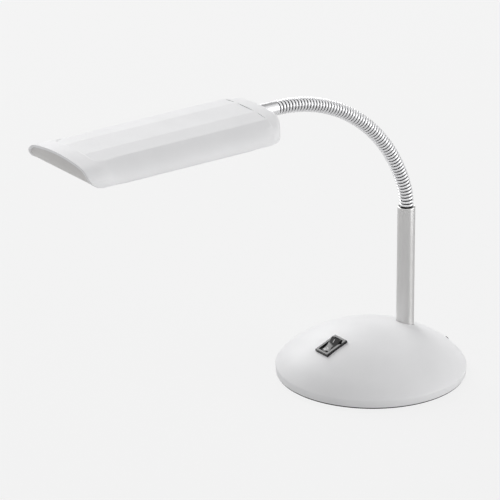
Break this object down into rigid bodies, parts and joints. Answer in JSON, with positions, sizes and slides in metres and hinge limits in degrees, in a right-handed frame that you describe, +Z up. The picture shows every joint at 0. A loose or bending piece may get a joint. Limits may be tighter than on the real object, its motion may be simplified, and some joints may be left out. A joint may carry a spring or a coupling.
{
  "type": "gooseneck desk lamp",
  "caption": "Desk lamp with a round weighted base, a straight pole, a ribbed gooseneck and a long low LED head; rocker switch in the base.",
  "frame": {"origin": "centre of the base's underside, on the table", "axes": "+Z up, the pole stands at +Y and the head reaches towards -Y"},
  "size_m": [0.15, 0.3722, 0.2525],
  "materials": {
    "ballast": "as cast",
    "board_green": "solder mask",
    "board_metal": "white solder mask",
    "brass": "plain",
    "capacitor": "sleeved",
    "connector_white": "plain",
    "diffuser_white": "opal",
    "foot_black": "matt",
    "gland_black": "matt",
    "lead_blue": "insulated",
    "lead_brown": "insulated",
    "lead_grey": "insulated",
    "led_yellow": "phosphor",
    "neck_metal": "polished",
    "plate_steel": "powder coated",
    "pole_metal": "satin",
    "steel": "zinc plated",
    "switch_black": "semi gloss",
    "transformer": "taped winding",
    "tray_white": "matt",
    "white_shell": "satin"
  },
  "bodies": {
    "base": {"base_shell": "white_shell", "base_plate": "plate_steel", "base_weight": "ballast", "foot_pad": "foot_black", "base_screws": "steel", "cord_gland": "gland_black", "pole": "pole_metal", "pole_nipple": "steel", "pole_washer": "steel", "pole_nut": "steel", "neck_bush": "brass", "neck_lead": "lead_grey", "switch_housing": "switch_black", "switch_blades": "brass", "driver_board": "board_green", "board_standoffs": "brass", "board_screws": "steel", "driver_transformer": "transformer", "driver_capacitors": "capacitor", "driver_sockets": "connector_white", "terminal_block": "connector_white", "terminal_screws": "brass", "lead_live_in": "lead_brown", "lead_live_out": "lead_brown", "lead_neutral": "lead_blue", "lead_low_voltage": "lead_grey"},
    "link_01": {"neck_link_01": "neck_metal"},
    "link_02": {"neck_link_02": "neck_metal"},
    "link_03": {"neck_link_03": "neck_metal"},
    "link_04": {"neck_link_04": "neck_metal"},
    "link_05": {"neck_link_05": "neck_metal"},
    "link_06": {"neck_link_06": "neck_metal"},
    "link_07": {"neck_link_07": "neck_metal"},
    "link_08": {"neck_link_08": "neck_metal"},
    "link_09": {"neck_link_09": "neck_metal"},
    "link_10": {"neck_link_10": "neck_metal"},
    "link_11": {"neck_link_11": "neck_metal"},
    "link_12": {"neck_link_12": "neck_metal"},
    "link_13": {"neck_link_13": "neck_metal"},
    "link_14": {"neck_link_14": "neck_metal"},
    "link_15": {"neck_link_15": "neck_metal"},
    "link_16": {"neck_link_16": "neck_metal"},
    "link_17": {"neck_link_17": "neck_metal"},
    "link_18": {"neck_link_18": "neck_metal"},
    "link_19": {"neck_link_19": "neck_metal"},
    "link_20": {"neck_link_20": "neck_metal"},
    "link_21": {"neck_link_21": "neck_metal"},
    "head": {"neck_sleeve": "neck_metal", "head_washer": "steel", "head_nut": "steel", "shade_shell": "white_shell", "lamp_tray": "tray_white", "diffuser": "diffuser_white", "tray_screws": "steel", "led_board": "board_metal", "led_screws": "steel", "led_chips": "led_yellow", "led_connector": "connector_white", "head_lead": "lead_grey"},
    "rocker": {"switch_rocker": "switch_black"}
  },
  "joints": [
    {"name": "neck_bend", "type": "hinge", "parent": "base", "child": "link_01", "pos_m": [0, 0.0338, 0.13148], "axis": [1, 0, 0], "range_deg": [-8, 3], "deforming": ["neck_lead"]},
    {"name": "neck_sway", "type": "hinge", "parent": "link_01", "child": "link_02", "pos_m": [0, 0.03314, 0.14019], "axis": [0, 0.9887, 0.1502], "range_deg": [-5.5, 5.5], "deforming": ["neck_lead"]},
    {"name": "neck_bend_02", "type": "hinge", "parent": "link_02", "child": "link_03", "pos_m": [0, 0.03118, 0.14871], "axis": [1, 0, 0], "range_deg": [-8, 3]},
    {"name": "neck_sway_02", "type": "hinge", "parent": "link_03", "child": "link_04", "pos_m": [0, 0.02826, 0.15695], "axis": [0, 0.9308, 0.3655], "range_deg": [-5.5, 5.5]},
    {"name": "neck_bend_03", "type": "hinge", "parent": "link_04", "child": "link_05", "pos_m": [0, 0.0248, 0.16498], "axis": [1, 0, 0], "range_deg": [-8, 3]},
    {"name": "neck_sway_03", "type": "hinge", "parent": "link_05", "child": "link_06", "pos_m": [0, 0.02082, 0.17276], "axis": [0, 0.8751, 0.484], "range_deg": [-5.5, 5.5]},
    {"name": "neck_bend_04", "type": "hinge", "parent": "link_06", "child": "link_07", "pos_m": [0, 0.01634, 0.18027], "axis": [1, 0, 0], "range_deg": [-8, 3]},
    {"name": "neck_sway_04", "type": "hinge", "parent": "link_07", "child": "link_08", "pos_m": [0, 0.01138, 0.18747], "axis": [0, 0.8043, 0.5942], "range_deg": [-5.5, 5.5]},
    {"name": "neck_bend_05", "type": "hinge", "parent": "link_08", "child": "link_09", "pos_m": [0, 0.00595, 0.19433], "axis": [1, 0, 0], "range_deg": [-8, 3]},
    {"name": "neck_sway_05", "type": "hinge", "parent": "link_09", "child": "link_10", "pos_m": [0, 0.00009, 0.20082], "axis": [0, 0.7198, 0.6942], "range_deg": [-5.5, 5.5]},
    {"name": "neck_bend_06", "type": "hinge", "parent": "link_10", "child": "link_11", "pos_m": [0, -0.00618, 0.20691], "axis": [1, 0, 0], "range_deg": [-8, 3]},
    {"name": "neck_sway_06", "type": "hinge", "parent": "link_11", "child": "link_12", "pos_m": [0, -0.01284, 0.21258], "axis": [0, 0.623, 0.7822], "range_deg": [-5.5, 5.5]},
    {"name": "neck_bend_07", "type": "hinge", "parent": "link_12", "child": "link_13", "pos_m": [0, -0.01985, 0.2178], "axis": [1, 0, 0], "range_deg": [-8, 3]},
    {"name": "neck_sway_07", "type": "hinge", "parent": "link_13", "child": "link_14", "pos_m": [0, -0.02719, 0.22255], "axis": [0, 0.5154, 0.8569], "range_deg": [-5.5, 5.5]},
    {"name": "neck_bend_08", "type": "hinge", "parent": "link_14", "child": "link_15", "pos_m": [0, -0.03483, 0.22681], "axis": [1, 0, 0], "range_deg": [-8, 3]},
    {"name": "neck_sway_08", "type": "hinge", "parent": "link_15", "child": "link_16", "pos_m": [0, -0.04272, 0.23056], "axis": [0, 0.3991, 0.9169], "range_deg": [-5.5, 5.5]},
    {"name": "neck_bend_09", "type": "hinge", "parent": "link_16", "child": "link_17", "pos_m": [0, -0.05085, 0.23378], "axis": [1, 0, 0], "range_deg": [-8, 3]},
    {"name": "neck_sway_09", "type": "hinge", "parent": "link_17", "child": "link_18", "pos_m": [0, -0.05917, 0.23647], "axis": [0, 0.2759, 0.9612], "range_deg": [-5.5, 5.5]},
    {"name": "neck_bend_10", "type": "hinge", "parent": "link_18", "child": "link_19", "pos_m": [0, -0.06765, 0.2386], "axis": [1, 0, 0], "range_deg": [-8, 3]},
    {"name": "neck_sway_10", "type": "hinge", "parent": "link_19", "child": "link_20", "pos_m": [0, -0.07625, 0.24018], "axis": [0, 0.1479, 0.989], "range_deg": [-5.5, 5.5]},
    {"name": "neck_bend_11", "type": "hinge", "parent": "link_20", "child": "link_21", "pos_m": [0, -0.08494, 0.24119], "axis": [1, 0, 0], "range_deg": [-8, 3]},
    {"name": "neck_sway_11", "type": "hinge", "parent": "link_21", "child": "head", "pos_m": [0, -0.09367, 0.24163], "axis": [0, 0.0175, 0.9998], "range_deg": [-5.5, 5.5]},
    {"name": "rocker_press", "type": "hinge", "parent": "base", "child": "rocker", "pos_m": [0, -0.03887, 0.02984], "axis": [-1, 0, 0], "range_deg": [0, 22]}
  ],
  "couplings": [
    {"joint": "neck_bend_02", "follows": "neck_bend", "ratio": 1},
    {"joint": "neck_sway_02", "follows": "neck_sway", "ratio": 1},
    {"joint": "neck_bend_03", "follows": "neck_bend", "ratio": 1},
    {"joint": "neck_sway_03", "follows": "neck_sway", "ratio": 1},
    {"joint": "neck_bend_04", "follows": "neck_bend", "ratio": 1},
    {"joint": "neck_sway_04", "follows": "neck_sway", "ratio": 1},
    {"joint": "neck_bend_05", "follows": "neck_bend", "ratio": 1},
    {"joint": "neck_sway_05", "follows": "neck_sway", "ratio": 1},
    {"joint": "neck_bend_06", "follows": "neck_bend", "ratio": 1},
    {"joint": "neck_sway_06", "follows": "neck_sway", "ratio": 1},
    {"joint": "neck_bend_07", "follows": "neck_bend", "ratio": 1},
    {"joint": "neck_sway_07", "follows": "neck_sway", "ratio": 1},
    {"joint": "neck_bend_08", "follows": "neck_bend", "ratio": 1},
    {"joint": "neck_sway_08", "follows": "neck_sway", "ratio": 1},
    {"joint": "neck_bend_09", "follows": "neck_bend", "ratio": 1},
    {"joint": "neck_sway_09", "follows": "neck_sway", "ratio": 1},
    {"joint": "neck_bend_10", "follows": "neck_bend", "ratio": 1},
    {"joint": "neck_sway_10", "follows": "neck_sway", "ratio": 1},
    {"joint": "neck_bend_11", "follows": "neck_bend", "ratio": 1},
    {"joint": "neck_sway_11", "follows": "neck_sway", "ratio": 1}
  ]
}
